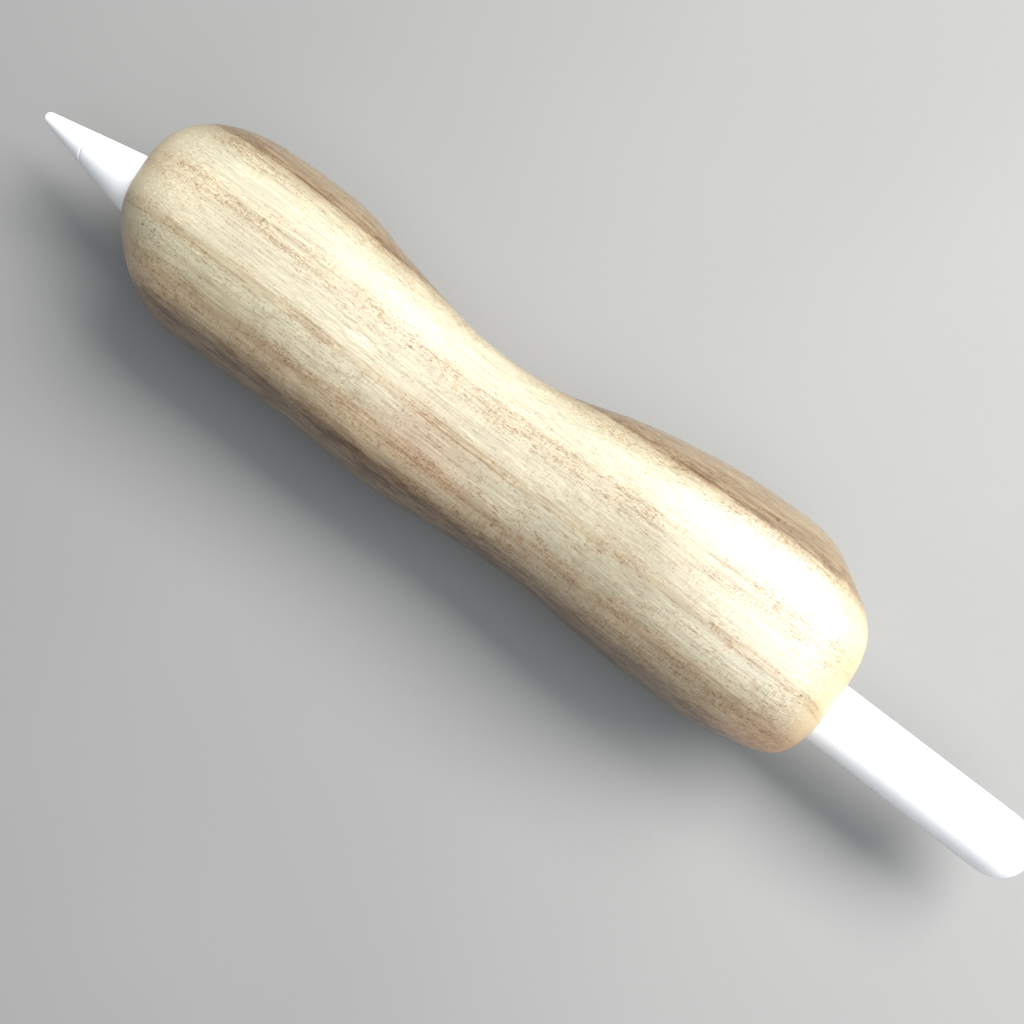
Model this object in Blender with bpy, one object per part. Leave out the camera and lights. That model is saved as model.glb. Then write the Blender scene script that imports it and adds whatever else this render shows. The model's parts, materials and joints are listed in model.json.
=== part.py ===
"""A tablet stylus pushed through a hand-carved wooden grip.

Frame: metres, +Z up. The stylus lies along X with its nib towards +X, and the deep hollow of the
grip is on the -Y side. The origin is under the middle of the assembly, on the surface that the grip
rests on.

Lengths below are in millimetres. A place along the stylus is given as s, the distance back from the
nib's tip. Y and Z of every stylus piece are measured from the stylus axis.
"""

import math
from collections import namedtuple

import bmesh
import bpy

MM = 0.001

# ---------------------------------------------------------------- driving dimensions

STYLUS_LENGTH = 166.0
BARREL_RADIUS = 4.45
BARREL_BORE_RADIUS = 3.65
BARREL_FRONT = 20.35
BARREL_FLAT_DEPTH = 0.35
BARREL_FLAT_RANGE = (62.0, 148.0)
BARREL_FLAT_RUN_OUT = 4.0
TAIL_DOME_LENGTH = 4.8
TAIL_DOME_SQUARENESS = 2.15

TIP_RADIUS = 0.95
CONE_HALF_ANGLE = math.radians(12.0)
SHOULDER_START = 14.8
SHOULDER_END = 19.8

NIB_LENGTH = 8.4
NIB_GAP = 0.2
NIB_EDGE = 0.1
THREAD_RADIUS = 0.85
FIT_GAP = 0.05

SPIGOT_END = 24.0
SPIGOT_BORE_RADIUS = 2.75
CONE_BORE_RADIUS = 1.6

INSERT_RANGE = (4.8, 8.35)
INSERT_RADIUS = 1.3
INSERT_SEAT_RADIUS = 1.36
CORE_RANGE = (1.45, 4.6)
CORE_RADIUS = 0.5
CORE_HOLE_RADIUS = 0.62
POST_END = 16.0
POST_FLANGE_RADIUS = 2.0

GRIP_TAIL_X = -50.0
GRIP_NIB_X = 63.5
GRIP_BORE_RADIUS = 4.55
GRIP_BORE_CHAMFER = 0.35
AXIS_HEIGHT = 13.0

ROUND_SEGMENTS = 48
SMALL_SEGMENTS = 24
SMOOTH_ANGLE = math.radians(35.0)

# The grip, station by station from tail to nib: x, then how far the wood reaches from the bore axis
# towards -Y, towards +Y, up and down.
GRIP_STATIONS = (
    (-50.0, 14.1, 11.1, 13.0, 13.2),
    (-44.0, 15.2, 10.8, 13.6, 13.4),
    (-38.0, 17.9, 11.8, 13.9, 13.5),
    (-31.0, 18.3, 12.0, 14.0, 13.5),
    (-21.0, 17.6, 12.0, 13.6, 13.3),
    (-10.0, 15.4, 11.4, 12.5, 12.4),
    (1.0, 12.2, 12.0, 11.4, 11.7),
    (13.0, 11.6, 13.4, 11.1, 11.6),
    (28.0, 14.0, 13.0, 12.2, 12.8),
    (36.0, 15.9, 13.1, 12.8, 13.3),
    (43.0, 16.2, 13.3, 13.1, 13.5),
    (53.0, 15.8, 13.3, 13.1, 13.4),
    (59.0, 15.2, 12.0, 12.8, 13.1),
    (64.0, 14.2, 9.8, 12.3, 12.8),
)

# How square each quarter of the grip's section is: 2 is an ellipse, more is squarer.
SQUARENESS_TOP_HOLLOW_SIDE = 2.9
SQUARENESS_TOP_FULL_SIDE = 2.3
SQUARENESS_BOTTOM = 2.6

# Rounding of the two ends. face is the X of the end face and lean its slope, X per unit of Y. length is
# how far the rounding reaches along X, towards the middle, and squareness its shape along X. The -Y side
# (hollow) and the +Y side (full) each have the share of the section left at the face and the squareness
# with which it grows to the whole section.
Rounding = namedtuple(
    "Rounding", "face length lean squareness hollow_share full_share hollow_power full_power"
)
TAIL_END = Rounding(GRIP_TAIL_X, 9.8, 0.0, 2.2, 0.47, 0.48, 2.34, 2.7)
NIB_END = Rounding(GRIP_NIB_X, -14.5, -0.14, 2.0, 0.475, 0.515, 1.93, 1.75)
ROUNDING_STEPS = 7
GRIP_RING_SPACING = 4.0
Ring = namedtuple("Ring", "x hollow_share full_share lean")


# ---------------------------------------------------------------- helpers

def clear_scene():
    for obj in list(bpy.data.objects):
        bpy.data.objects.remove(obj, do_unlink=True)


def make_material(name, colour, roughness, metallic=0.0):
    material = bpy.data.materials.new(name)
    material.use_nodes = True
    shader = material.node_tree.nodes["Principled BSDF"]
    shader.inputs["Base Color"].default_value = (*colour, 1.0)
    shader.inputs["Roughness"].default_value = roughness
    shader.inputs["Metallic"].default_value = metallic
    return material


def finish_object(name, bm, material, parent=None):
    """Turns a bmesh into a named object with outward faces, shaded smooth between sharp edges."""
    bmesh.ops.recalc_face_normals(bm, faces=bm.faces)
    mesh = bpy.data.meshes.new(name)
    bm.to_mesh(mesh)
    bm.free()
    mesh.shade_smooth()
    mesh.set_sharp_from_angle(angle=SMOOTH_ANGLE)
    mesh.materials.append(material)
    obj = bpy.data.objects.new(name, mesh)
    obj.parent = parent
    bpy.context.scene.collection.objects.link(obj)
    return obj


def stylus_x(s):
    """X in millimetres of the place s back from the nib's tip."""
    return STYLUS_LENGTH / 2.0 - s


def local_point(s, y, z):
    return (stylus_x(s) * MM, y * MM, z * MM)


def turned(name, outline, material, parent, segments=ROUND_SEGMENTS):
    """Solid turned about the stylus axis from (s, radius) points. An outline that starts and ends on the
    axis makes a solid or a cup, any other outline is closed into a ring."""
    bm = bmesh.new()
    verts = [bm.verts.new(local_point(s, 0.0, r)) for s, r in outline]
    on_axis = outline[0][1] == 0.0 and outline[-1][1] == 0.0
    pairs = list(zip(verts, verts[1:]))
    if not on_axis:
        pairs.append((verts[-1], verts[0]))
    edges = [bm.edges.new(pair) for pair in pairs]
    bmesh.ops.spin(
        bm, geom=verts + edges, cent=(0.0, 0.0, 0.0), axis=(1.0, 0.0, 0.0),
        angle=2.0 * math.pi, steps=segments, use_duplicate=False,
    )
    bmesh.ops.remove_doubles(bm, verts=bm.verts, dist=1e-7)
    return finish_object(name, bm, material, parent)


def block(name, s_range, y_range, z_range, material, parent):
    """Rectangular block between two places along the stylus."""
    bm = bmesh.new()
    corners = [
        [bm.verts.new(local_point(s, y, z)) for y, z in (
            (y_range[0], z_range[0]), (y_range[1], z_range[0]),
            (y_range[1], z_range[1]), (y_range[0], z_range[1]),
        )]
        for s in s_range
    ]
    for ring in corners:
        bm.faces.new(ring)
    for i in range(4):
        j = (i + 1) % 4
        bm.faces.new((corners[0][i], corners[0][j], corners[1][j], corners[1][i]))
    return finish_object(name, bm, material, parent)


def prism_across(name, side_outline, half_width, material, parent):
    """Solid of constant width across Y from a side outline of (s, z) points."""
    bm = bmesh.new()
    face = bm.faces.new([bm.verts.new(local_point(s, -half_width, z)) for s, z in side_outline])
    extruded = bmesh.ops.extrude_face_region(bm, geom=[face], use_keep_orig=True)
    moved = [item for item in extruded["geom"] if isinstance(item, bmesh.types.BMVert)]
    bmesh.ops.translate(bm, verts=moved, vec=(0.0, 2.0 * half_width * MM, 0.0))
    return finish_object(name, bm, material, parent)


def prism_along(name, section, s_range, material, parent):
    """Solid of constant section along the stylus from a closed outline of (y, z) points."""
    bm = bmesh.new()
    face = bm.faces.new([bm.verts.new(local_point(s_range[0], y, z)) for y, z in section])
    extruded = bmesh.ops.extrude_face_region(bm, geom=[face], use_keep_orig=True)
    moved = [item for item in extruded["geom"] if isinstance(item, bmesh.types.BMVert)]
    bmesh.ops.translate(bm, verts=moved, vec=((s_range[0] - s_range[1]) * MM, 0.0, 0.0))
    return finish_object(name, bm, material, parent)


def ribbon_outline(path, thickness):
    """Closed (s, z) outline of a ribbon that follows a path and has its thickness above it."""
    upper = [(s, z + thickness) for s, z in reversed(path)]
    return list(path) + upper


def arc_section(inner, outer, start_degrees, end_degrees, steps=16):
    """Closed (y, z) outline of a curved strip. 90 degrees is straight up."""
    angles = [
        math.radians(start_degrees + (end_degrees - start_degrees) * i / steps) for i in range(steps + 1)
    ]
    out = [(outer * math.cos(a), outer * math.sin(a)) for a in angles]
    back = [(inner * math.cos(a), inner * math.sin(a)) for a in reversed(angles)]
    return out + back


def channel_section(half_width, wall, floor, floor_top, rim):
    """Closed (y, z) outline of a channel: its floor's outer face, its floor's inner face and its rims."""
    inner = half_width - wall
    return [
        (-half_width, floor), (half_width, floor), (half_width, rim), (inner, rim),
        (inner, floor_top), (-inner, floor_top), (-inner, rim), (-half_width, rim),
    ]


# ---------------------------------------------------------------- the grip

def smooth_value(stations, column, x):
    """One column of the stations at x, on a smooth curve through all of them."""
    xs = [row[0] for row in stations]
    ys = [row[column] for row in stations]
    last = len(xs) - 1
    i = max(0, min(last - 1, sum(1 for value in xs if value <= x) - 1))

    def slope(k):
        before = max(0, k - 1)
        after = min(last, k + 1)
        return (ys[after] - ys[before]) / (xs[after] - xs[before])

    span = xs[i + 1] - xs[i]
    t = (x - xs[i]) / span
    rise = 3.0 * t ** 2 - 2.0 * t ** 3
    start_bend = t - 2.0 * t ** 2 + t ** 3
    end_bend = t ** 3 - t ** 2
    return ys[i] + (ys[i + 1] - ys[i]) * rise + span * (slope(i) * start_bend + slope(i + 1) * end_bend)


def grip_radius(x, angle):
    """Distance from the bore axis to the wood's surface at x, in the direction angle (90 degrees is up)."""
    hollow_side, full_side, up, down = (smooth_value(GRIP_STATIONS, column, x) for column in (1, 2, 3, 4))
    across = math.cos(angle)
    rise = math.sin(angle)
    if rise < 0.0:
        power = SQUARENESS_BOTTOM
    elif across < 0.0:
        power = SQUARENESS_TOP_HOLLOW_SIDE
    else:
        power = SQUARENESS_TOP_FULL_SIDE
    side = hollow_side if across < 0.0 else full_side
    height = up if rise >= 0.0 else down
    return ((abs(across) / side) ** power + (abs(rise) / height) ** power) ** (-1.0 / power)


def end_rings(end):
    """The rings of one rounded end, from its end face inwards."""
    rings = []
    for i in range(ROUNDING_STEPS):
        turn = 0.5 * math.pi * i / ROUNDING_STEPS
        along = 1.0 - math.cos(turn) ** (2.0 / end.squareness)
        hollow_growth = math.sin(turn) ** (2.0 / end.hollow_power)
        full_growth = math.sin(turn) ** (2.0 / end.full_power)
        rings.append(Ring(
            end.face + end.length * along,
            end.hollow_share + (1.0 - end.hollow_share) * hollow_growth,
            end.full_share + (1.0 - end.full_share) * full_growth,
            end.lean * (1.0 - along),
        ))
    return rings


def grip_rings():
    """The rings of the grip's surface, from tail to nib."""
    start = TAIL_END.face + TAIL_END.length
    end = NIB_END.face + NIB_END.length
    count = round((end - start) / GRIP_RING_SPACING)
    body = [Ring(start + (end - start) * i / count, 1.0, 1.0, 0.0) for i in range(count + 1)]
    return end_rings(TAIL_END) + body + end_rings(NIB_END)[::-1]


def ring_radius(ring, angle):
    """Distance from the bore axis to the surface of one ring, in the direction angle."""
    to_full_side = 0.5 * (1.0 + math.cos(angle))
    share = ring.hollow_share + (ring.full_share - ring.hollow_share) * to_full_side
    return share * grip_radius(ring.x, angle)


def axis_offset():
    """Y of the bore axis that puts the middle of the grip's width over the origin."""
    hollow_side = max(ring_radius(ring, math.pi) for ring in grip_rings())
    full_side = max(ring_radius(ring, 0.0) for ring in grip_rings())
    return (hollow_side - full_side) / 2.0


def make_grip(material, parent):
    """The carved wood: rings along the outside, round over both ends and back through the bore."""
    angles = [2.0 * math.pi * i / ROUND_SEGMENTS for i in range(ROUND_SEGMENTS)]
    bm = bmesh.new()

    def add_ring(x, radii, lean):
        ring = []
        for angle, radius in zip(angles, radii):
            y = radius * math.cos(angle)
            z = max(radius * math.sin(angle), -AXIS_HEIGHT)
            ring.append(bm.verts.new(((x + lean * y) * MM, y * MM, z * MM)))
        return ring

    loops = [
        add_ring(ring.x, [ring_radius(ring, angle) for angle in angles], ring.lean)
        for ring in grip_rings()
    ]
    mouth_radius = GRIP_BORE_RADIUS + GRIP_BORE_CHAMFER
    for x, radius, lean in (
        (NIB_END.face, mouth_radius, NIB_END.lean),
        (NIB_END.face - GRIP_BORE_CHAMFER, GRIP_BORE_RADIUS, NIB_END.lean),
        (TAIL_END.face + GRIP_BORE_CHAMFER, GRIP_BORE_RADIUS, TAIL_END.lean),
        (TAIL_END.face, mouth_radius, TAIL_END.lean),
    ):
        loops.append(add_ring(x, [radius] * ROUND_SEGMENTS, lean))
    for loop, following in zip(loops, loops[1:] + loops[:1]):
        for i in range(ROUND_SEGMENTS):
            j = (i + 1) % ROUND_SEGMENTS
            bm.faces.new((loop[i], loop[j], following[j], following[i]))
    return finish_object("grip", bm, material, parent)


# ---------------------------------------------------------------- the stylus body

def cone_radius(s):
    """Outer radius of the straight cone at s."""
    return TIP_RADIUS / math.cos(CONE_HALF_ANGLE) + (s - TIP_RADIUS) * math.tan(CONE_HALF_ANGLE)


def make_barrel(material, parent):
    """White tube with a domed tail and a shallow flat along its underside."""
    dome_start = STYLUS_LENGTH - TAIL_DOME_LENGTH
    steps = 9
    dome = []
    for i in range(steps + 1):
        turn = 0.5 * math.pi * (1.0 - i / steps)
        along = math.cos(turn) ** (2.0 / TAIL_DOME_SQUARENESS)
        radius = BARREL_RADIUS * math.sin(turn) ** (2.0 / TAIL_DOME_SQUARENESS)
        dome.append((dome_start + TAIL_DOME_LENGTH * along, radius))
    dome[-1] = (STYLUS_LENGTH, 0.0)
    flat_start, flat_end = BARREL_FLAT_RANGE
    outline = [
        (dome_start + 1.0, 0.0),
        (dome_start, 2.4),
        (dome_start - 1.2, BARREL_BORE_RADIUS),
        (BARREL_FRONT, BARREL_BORE_RADIUS),
        (BARREL_FRONT, BARREL_RADIUS - FIT_GAP),
        (BARREL_FRONT + FIT_GAP, BARREL_RADIUS),
        (flat_start - BARREL_FLAT_RUN_OUT, BARREL_RADIUS),
        (flat_start, BARREL_RADIUS),
        (flat_end, BARREL_RADIUS),
        (flat_end + BARREL_FLAT_RUN_OUT, BARREL_RADIUS),
    ] + dome
    barrel = turned("barrel", outline, material, parent)

    lowest = (BARREL_FLAT_DEPTH - BARREL_RADIUS) * MM
    margin = 0.5 * MM
    for vertex in barrel.data.vertices:
        if stylus_x(flat_end) * MM - margin < vertex.co.x < stylus_x(flat_start) * MM + margin:
            vertex.co.z = max(vertex.co.z, lowest)
    barrel.data.set_sharp_from_angle(angle=SMOOTH_ANGLE)
    return barrel


def make_nose_cone(material, parent):
    """Front of the body: the rest of the cone, an eased shoulder and a spigot inside the barrel."""
    front = NIB_LENGTH + NIB_GAP
    start_radius = cone_radius(SHOULDER_START)
    steps = 6
    shoulder = []
    for i in range(steps + 1):
        t = i / steps
        ease = t - 0.5 * t * t
        rise = (BARREL_RADIUS - start_radius) * 2.0 * ease
        shoulder.append((SHOULDER_START + (SHOULDER_END - SHOULDER_START) * t, start_radius + rise))
    spigot_radius = BARREL_BORE_RADIUS - 2.0 * FIT_GAP
    outline = [
        (front, CONE_BORE_RADIUS),
        (front, cone_radius(front) - NIB_EDGE),
        (front + NIB_EDGE, cone_radius(front + NIB_EDGE)),
    ]
    outline += shoulder
    outline += [
        (BARREL_FRONT - FIT_GAP, BARREL_RADIUS),
        (BARREL_FRONT - FIT_GAP, spigot_radius),
        (SPIGOT_END, spigot_radius),
        (SPIGOT_END, SPIGOT_BORE_RADIUS),
        (13.0, SPIGOT_BORE_RADIUS),
        (12.4, CONE_BORE_RADIUS),
    ]
    return turned("nose_cone", outline, material, parent)


# ---------------------------------------------------------------- the nib and its post

def make_nib_shell(material, parent):
    """The nib with its blind hole: a wide seat for the insert and a narrow one for the core."""
    steps = 6
    tangent = 0.5 * math.pi - CONE_HALF_ANGLE
    tip = [
        (TIP_RADIUS * (1.0 - math.cos(tangent * i / steps)), TIP_RADIUS * math.sin(tangent * i / steps))
        for i in range(steps + 1)
    ]
    step = 4.7
    hole_end = 1.3
    outline = tip + [
        (NIB_LENGTH - NIB_EDGE, cone_radius(NIB_LENGTH - NIB_EDGE)),
        (NIB_LENGTH, cone_radius(NIB_LENGTH) - NIB_EDGE),
        (NIB_LENGTH, INSERT_SEAT_RADIUS),
        (step, INSERT_SEAT_RADIUS),
        (step, CORE_HOLE_RADIUS),
        (hole_end + 0.2, CORE_HOLE_RADIUS),
        (hole_end, 0.4),
        (hole_end, 0.0),
    ]
    return turned("nib_shell", outline, material, parent)


def make_nib_insert(material, parent):
    """Metal insert whose inner wall stands for the thread."""
    inner_radius = THREAD_RADIUS + 0.1
    front, back = INSERT_RANGE
    outline = [(front, inner_radius), (front, INSERT_RADIUS), (back, INSERT_RADIUS), (back, inner_radius)]
    return turned("nib_insert", outline, material, parent, SMALL_SEGMENTS)


def make_nib_core(material, parent):
    front, back = CORE_RANGE
    edge = 0.15
    outline = [
        (front, 0.0), (front, CORE_RADIUS - edge), (front + edge, CORE_RADIUS), (back, CORE_RADIUS),
        (back, 0.0),
    ]
    return turned("nib_core", outline, material, parent, SMALL_SEGMENTS)


def make_tip_post(material, parent):
    """Threaded stud, the shoulder that the nib seats on, the shaft and the flange behind it."""
    thread_start = 4.9
    thread_end = 8.2
    shoulder_start = 8.45
    shoulder_end = 9.0
    flange_start = POST_END - 0.6
    outline = [
        (thread_start, 0.0),
        (thread_start, THREAD_RADIUS - 0.2),
        (thread_start + 0.2, THREAD_RADIUS),
        (thread_end, THREAD_RADIUS),
        (thread_end + 0.05, THREAD_RADIUS - 0.15),
        (shoulder_start, THREAD_RADIUS - 0.15),
        (shoulder_start, INSERT_RADIUS),
        (shoulder_end, INSERT_RADIUS),
        (shoulder_end, THREAD_RADIUS),
        (flange_start, THREAD_RADIUS),
        (flange_start, POST_FLANGE_RADIUS),
        (POST_END, POST_FLANGE_RADIUS),
        (POST_END, 0.0),
    ]
    return turned("tip_post", outline, material, parent, SMALL_SEGMENTS)


def make_tip_guide_bush(material, parent):
    outline = [(9.3, 1.0), (9.3, 1.5), (12.2, 1.5), (12.2, 1.0)]
    return turned("tip_guide_bush", outline, material, parent, SMALL_SEGMENTS)


def make_tilt_ring(material, parent):
    outline = [(13.3, 2.3), (13.3, 2.62), (14.6, 2.62), (14.6, 2.3)]
    return turned("tilt_ring", outline, material, parent, SMALL_SEGMENTS)


# ---------------------------------------------------------------- force sensor

def make_sensor_frame(material, parent):
    """Cup around the flange, spring and sensor, with a hole in its back wall."""
    bore_radius = 2.25
    outer_radius = 2.62
    hole_radius = 0.9
    front = 15.0
    wall_start = 20.3
    back = 20.8
    outline = [
        (front, bore_radius), (front, outer_radius), (back, outer_radius), (back, hole_radius),
        (wall_start, hole_radius), (wall_start, bore_radius),
    ]
    return turned("sensor_frame", outline, material, parent, SMALL_SEGMENTS)


def make_preload_spring(material, parent):
    """Coil spring between the post's flange and the sensor."""
    coil_radius = 1.45
    wire_radius = 0.16
    front = 16.5
    back = 18.1
    turns = 3.5
    steps_per_turn = 12
    curve = bpy.data.curves.new("preload_spring", "CURVE")
    curve.dimensions = "3D"
    curve.bevel_depth = wire_radius * MM
    curve.bevel_resolution = 1
    curve.use_fill_caps = True
    steps = round(turns * steps_per_turn)
    spline = curve.splines.new("POLY")
    spline.points.add(steps)
    for i, point in enumerate(spline.points):
        angle = 2.0 * math.pi * turns * i / steps
        s = front + (back - front) * i / steps
        point.co = (*local_point(s, coil_radius * math.cos(angle), coil_radius * math.sin(angle)), 1.0)
    curve.materials.append(material)
    spring = bpy.data.objects.new("preload_spring", curve)
    spring.parent = parent
    bpy.context.scene.collection.objects.link(spring)
    return spring


def make_pressure_sensor(material, parent):
    outline = [(18.5, 0.0), (18.5, 1.9), (18.6, 2.1), (19.4, 2.1), (19.4, 0.0)]
    return turned("pressure_sensor", outline, material, parent, SMALL_SEGMENTS)


def make_sensor_flex(material, parent):
    path = [(21.0, 0.0), (23.0, 0.0), (24.6, 0.22), (28.6, 0.22)]
    return prism_across("sensor_flex", ribbon_outline(path, 0.12), 0.8, material, parent)


# ---------------------------------------------------------------- chassis, boards and antenna

def make_chassis(material, parent):
    """Shallow channel that carries the board above it, and the magnets and the coil below it."""
    section = channel_section(half_width=3.1, wall=0.3, floor=-1.3, floor_top=-0.8, rim=-0.3)
    return prism_along("chassis", section, (25.2, 113.4), material, parent)


def make_main_board(material, parent):
    return block("main_board", (27.0, 64.0), (-2.5, 2.5), (-0.5, 0.1), material, parent)


# name, s range, half width across Y, top of the package
CHIPS = (
    ("processor_chip", (29.5, 33.0), 1.7, 1.1),
    ("radio_chip", (49.0, 52.5), 1.7, 1.0),
    ("power_chip", (55.5, 59.5), 1.5, 1.0),
)


def make_chips(material, parent):
    for name, s_range, half_width, top in CHIPS:
        block(name, s_range, (-half_width, half_width), (0.2, top), material, parent)


def make_shield_can(material, parent):
    """Screening can, open underneath."""
    section = channel_section(half_width=2.1, wall=0.15, floor=1.6, floor_top=1.45, rim=0.2)
    return prism_along("shield_can", section, (34.5, 47.5), material, parent)


def make_touch_flex(material, parent):
    section = arc_section(3.42, 3.55, -25.0, 205.0)
    return prism_along("touch_flex", section, (27.0, 58.0), material, parent)


def make_antenna_flex(material, parent):
    section = arc_section(3.42, 3.55, 55.0, 125.0, steps=6)
    return prism_along("antenna_flex", section, (60.0, 80.0), material, parent)


def make_power_flex(material, parent):
    path = [(61.5, 0.22), (65.5, 0.22), (67.5, -0.55), (110.0, -0.55), (112.0, 0.2), (114.0, 0.2)]
    return prism_across("power_flex", ribbon_outline(path, 0.12), 1.2, material, parent)


# ---------------------------------------------------------------- magnets, charging coil and battery

MAGNET_ARRAYS = {"front": 67.0, "rear": 99.0}
MAGNET_COUNT = 3
MAGNET_LENGTH = 4.0
MAGNET_PITCH = 4.4


def make_magnets(magnet_material, shunt_material, parent):
    """Two rows of block magnets above the barrel's flat, each under a steel shunt plate."""
    for place, start in MAGNET_ARRAYS.items():
        for i in range(MAGNET_COUNT):
            s = start + MAGNET_PITCH * i
            name = f"magnet_{place}_{i + 1}"
            block(name, (s, s + MAGNET_LENGTH), (-1.5, 1.5), (-3.2, -2.0), magnet_material, parent)
        end = start + MAGNET_PITCH * MAGNET_COUNT
        block(f"magnet_shunt_{place}", (start, end), (-1.7, 1.7), (-1.9, -1.5), shunt_material, parent)


def racetrack(length, width, steps=8):
    """(s, y) points of a slot outline with round ends, about its middle."""
    radius = width / 2.0
    straight = length / 2.0 - radius
    points = []
    for side in (1.0, -1.0):
        for i in range(steps + 1):
            angle = math.pi * i / steps - 0.5 * math.pi
            points.append((side * (straight + radius * math.cos(angle)), side * radius * math.sin(angle)))
    return points


def make_charge_coil(material, parent):
    """Flat racetrack winding just above the barrel's flat."""
    middle = 89.5
    low, high = -3.2, -2.9
    bm = bmesh.new()
    loops = [
        [bm.verts.new(local_point(middle + s, y, z)) for s, y in racetrack(length, width)]
        for length, width, z in ((13.0, 3.2, low), (13.0, 3.2, high), (11.0, 1.2, high), (11.0, 1.2, low))
    ]
    for loop, following in zip(loops, loops[1:] + loops[:1]):
        for i in range(len(loop)):
            j = (i + 1) % len(loop)
            bm.faces.new((loop[i], loop[j], following[j], following[i]))
    return finish_object("charge_coil", bm, material, parent)


def make_ferrite_sheet(material, parent):
    return block("ferrite_sheet", (82.5, 96.5), (-2.1, 2.1), (-2.8, -2.2), material, parent)


def make_battery_board(material, parent):
    outline = [(114.4, 0.0), (114.4, 3.2), (115.2, 3.2), (115.2, 0.0)]
    return turned("battery_board", outline, material, parent, SMALL_SEGMENTS)


def make_battery_cell(material, parent):
    """Round cell with a rolled groove near its sealed end."""
    radius = 3.25
    edge = 0.35
    groove = 118.0
    front = 115.5
    back = 157.6
    outline = [
        (front, 0.0),
        (front, radius - edge),
        (front + edge, radius),
        (groove - 0.4, radius),
        (groove, radius - 0.25),
        (groove + 0.4, radius),
        (back - edge, radius),
        (back, radius - edge),
        (back, 0.0),
    ]
    return turned("battery_cell", outline, material, parent, SMALL_SEGMENTS)


def make_tail_bumper(material, parent):
    radius = 3.3
    front = 157.9
    back = 160.6
    outline = [(front, 0.0), (front, radius), (back - 1.0, radius), (back, radius - 0.9), (back, 0.0)]
    return turned("tail_bumper", outline, material, parent, SMALL_SEGMENTS)


# ---------------------------------------------------------------- assembly

def build():
    clear_scene()
    axis = bpy.data.objects.new("stylus_axis", None)
    axis.location = (0.0, axis_offset() * MM, AXIS_HEIGHT * MM)
    bpy.context.scene.collection.objects.link(axis)

    wood = make_material("carved_wood", (0.74, 0.58, 0.37), 0.42)
    white = make_material("white_plastic", (0.90, 0.91, 0.93), 0.32)
    brass = make_material("brass", (0.78, 0.62, 0.32), 0.30, 1.0)
    steel = make_material("steel", (0.62, 0.62, 0.63), 0.30, 1.0)
    copper = make_material("copper", (0.80, 0.46, 0.30), 0.32, 1.0)
    grey = make_material("grey_polymer", (0.35, 0.36, 0.38), 0.50)
    amber = make_material("polyimide", (0.72, 0.42, 0.10), 0.40)
    board = make_material("circuit_board", (0.04, 0.20, 0.12), 0.45)
    black = make_material("black_epoxy", (0.03, 0.03, 0.035), 0.50)
    foil = make_material("cell_wrap", (0.16, 0.30, 0.52), 0.35)
    foam = make_material("foam", (0.10, 0.10, 0.11), 0.90)
    nickel = make_material("nickel", (0.70, 0.69, 0.66), 0.25, 1.0)

    make_grip(wood, axis)
    make_barrel(white, axis)
    make_nose_cone(white, axis)
    make_nib_shell(white, axis)
    make_nib_insert(brass, axis)
    make_nib_core(steel, axis)
    make_tip_post(steel, axis)
    make_tip_guide_bush(grey, axis)
    make_tilt_ring(copper, axis)
    make_sensor_frame(grey, axis)
    make_preload_spring(steel, axis)
    make_pressure_sensor(nickel, axis)
    make_sensor_flex(amber, axis)
    make_chassis(grey, axis)
    make_main_board(board, axis)
    make_chips(black, axis)
    make_shield_can(nickel, axis)
    make_touch_flex(amber, axis)
    make_antenna_flex(amber, axis)
    make_power_flex(amber, axis)
    make_magnets(nickel, steel, axis)
    make_charge_coil(copper, axis)
    make_ferrite_sheet(black, axis)
    make_battery_board(board, axis)
    make_battery_cell(foil, axis)
    make_tail_bumper(foam, axis)


build()
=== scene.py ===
"""Looks of the carved wooden stylus grip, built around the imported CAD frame.

Lengths named in millimetres are turned into metres by MM. A place along the stylus is given as s, the
distance back from the nib's tip, and the wood's own measures are taken from the bore axis, as in the
design.
"""

import json
import math
from collections import namedtuple

import bpy
import numpy as np
from mathutils import Matrix, Vector, noise


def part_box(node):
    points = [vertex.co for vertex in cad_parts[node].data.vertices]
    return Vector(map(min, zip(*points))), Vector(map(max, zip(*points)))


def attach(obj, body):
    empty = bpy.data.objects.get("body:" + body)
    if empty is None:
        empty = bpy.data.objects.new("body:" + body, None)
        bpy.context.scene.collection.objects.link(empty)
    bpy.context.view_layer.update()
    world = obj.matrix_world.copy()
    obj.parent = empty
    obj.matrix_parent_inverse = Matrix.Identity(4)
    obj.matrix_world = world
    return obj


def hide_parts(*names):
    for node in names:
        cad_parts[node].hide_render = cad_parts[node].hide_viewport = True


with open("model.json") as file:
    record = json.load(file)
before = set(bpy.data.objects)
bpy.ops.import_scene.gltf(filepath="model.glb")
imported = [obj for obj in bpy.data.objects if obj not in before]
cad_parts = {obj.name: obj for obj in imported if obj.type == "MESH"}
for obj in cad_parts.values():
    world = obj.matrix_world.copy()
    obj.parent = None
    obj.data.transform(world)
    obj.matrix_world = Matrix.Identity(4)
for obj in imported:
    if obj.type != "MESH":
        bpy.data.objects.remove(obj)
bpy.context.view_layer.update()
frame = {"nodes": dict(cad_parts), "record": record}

MM = 0.001

# ---------------------------------------------------------------- places read from the frame

barrel_low, barrel_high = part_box("barrel")
grip_low, grip_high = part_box("grip")
BARREL_RADIUS = (barrel_high.y - barrel_low.y) / 2.0 / MM
AXIS_Y = (barrel_high.y + barrel_low.y) / 2.0
AXIS_Z = barrel_high.z - BARREL_RADIUS * MM
NIB_TIP_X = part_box("nib_shell")[1].x
STYLUS_LENGTH = (NIB_TIP_X - barrel_low.x) / MM

# ---------------------------------------------------------------- the design's own sizes, in millimetres

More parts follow.
